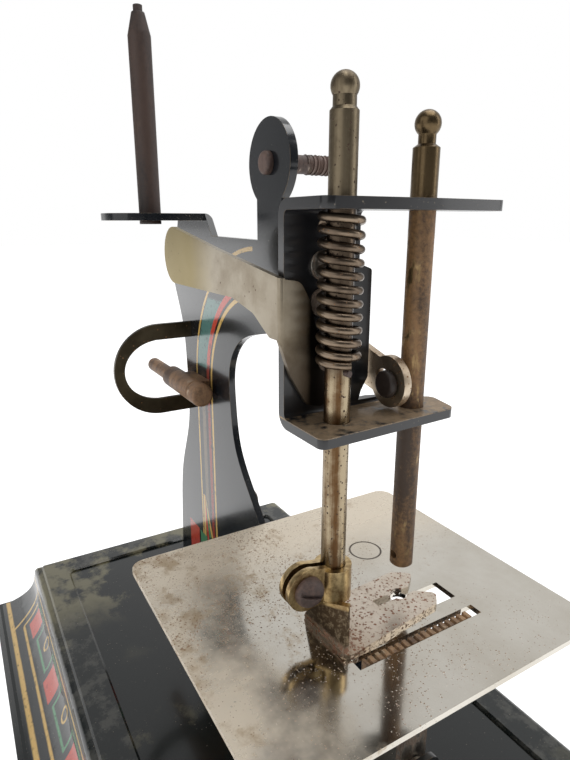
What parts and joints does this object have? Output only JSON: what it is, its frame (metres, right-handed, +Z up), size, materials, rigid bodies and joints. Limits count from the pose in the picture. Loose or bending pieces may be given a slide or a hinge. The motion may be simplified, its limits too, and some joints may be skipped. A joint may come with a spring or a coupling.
{
  "type": "toy sewing machine",
  "caption": "Small stamped-tin toy sewing machine on a flared base, with needle bar, sprung presser foot, lifter, feed and looper shaft.",
  "frame": {"origin": "centre of the base pan's footprint, on the surface that it stands on", "axes": "+X along the arm towards the needle head, +Y to the far side of the body plate, +Z up"},
  "size_m": [0.166, 0.108, 0.1635],
  "materials": {
    "base_enamel": "gloss black-green enamel with lines",
    "body_enamel": "gloss blue-black enamel with gold lines",
    "bracket_enamel": "worn gloss black enamel",
    "plate_nickel": "satin nickel plate with rust specks",
    "rusty_bar": "plating worn to rust",
    "aged_nickel": "aged nickel plate",
    "spring_steel": "browned spring wire",
    "foot_nickel": "nickel plate freckled with rust",
    "lever_nickel": "aged nickel plate",
    "dark_steel": "dull plated steel",
    "rust_brown": "brown rusted steel",
    "loop_brass": "tarnished brass plate"
  },
  "bodies": {
    "frame_body": {"base_pan": "base_enamel", "body_plate": "body_enamel", "foot_rivets": "dark_steel", "head_bracket": "bracket_enamel", "head_rivets": "dark_steel", "cloth_plate": "plate_nickel", "plate_post": "plate_nickel", "lever_pivot": "dark_steel", "lifter_pin": "dark_steel", "bearing_rear": "dark_steel", "bearing_front": "dark_steel", "feed_bracket": "bracket_enamel", "feed_rivets": "dark_steel", "feed_pin": "dark_steel", "spool_pin": "rust_brown", "tension_screw": "dark_steel", "guard_loop": "loop_brass", "spindle_sleeve": "rust_brown"},
    "needle_slide": {"needle_bar": "rusty_bar", "needle_stud": "dark_steel"},
    "needle_rocker": {"needle_lever": "lever_nickel", "rod_pin": "dark_steel"},
    "hanging_rod": {"lever_rod": "dark_steel"},
    "presser": {"presser_bar": "aged_nickel", "presser_spring": "spring_steel", "spring_pin": "dark_steel", "presser_foot": "foot_nickel", "foot_screw": "dark_steel"},
    "lifter": {"lifter_lever": "lever_nickel"},
    "looper_shaft": {"main_shaft": "dark_steel", "crank_disc": "dark_steel", "looper": "dark_steel"},
    "feed_rocker": {"feed_dog": "rust_brown", "feed_lever": "dark_steel"},
    "winding_spindle": {"drive_spindle": "rust_brown"}
  },
  "joints": [
    {"name": "needle_travel", "type": "slide", "parent": "frame_body", "child": "needle_slide", "axis": [0, 0, 1], "range_m": [0, 0.0141]},
    {"name": "needle_rock", "type": "hinge", "parent": "frame_body", "child": "needle_rocker", "pos_m": [-0.008, 0.0061, 0.104], "axis": [0, -1, 0], "range_deg": [0, 20.3]},
    {"name": "rod_swing", "type": "hinge", "parent": "needle_rocker", "child": "hanging_rod", "pos_m": [-0.036, 0.0076, 0.11111], "axis": [0, -1, 0], "range_deg": [-20.3, 0]},
    {"name": "presser_lift", "type": "slide", "parent": "frame_body", "child": "presser", "axis": [0, 0, 1], "range_m": [0, 0.005], "stiffness_N_per_m": 300, "springref_m": -0.004, "deforming": ["presser_spring"]},
    {"name": "lifter_swing", "type": "hinge", "parent": "frame_body", "child": "lifter", "pos_m": [0.02735, -0.004, 0.0982], "axis": [1, 0, 0], "range_deg": [0, 51]},
    {"name": "shaft_turn", "type": "hinge", "parent": "frame_body", "child": "looper_shaft", "pos_m": [0, 0.0086, 0.042], "axis": [1, 0, 0], "continuous": true},
    {"name": "feed_rock", "type": "hinge", "parent": "frame_body", "child": "feed_rocker", "pos_m": [0.0407, 0.0066, 0.026], "axis": [1, 0, 0], "range_deg": [0, 2.6]},
    {"name": "spindle_turn", "type": "hinge", "parent": "frame_body", "child": "winding_spindle", "pos_m": [-0.04, -0.0034, 0.078], "axis": [1, 0, 0], "continuous": true}
  ],
  "couplings": [
    {"joint": "needle_rock", "follows": "needle_travel", "rad_per_m": 24.794},
    {"joint": "rod_swing", "follows": "needle_travel", "rad_per_m": -24.794},
    {"joint": "feed_rock", "follows": "needle_travel", "rad_per_m": 3.0946},
    {"joint": "lifter_swing", "follows": "presser_lift", "rad_per_m": 174.53}
  ]
}
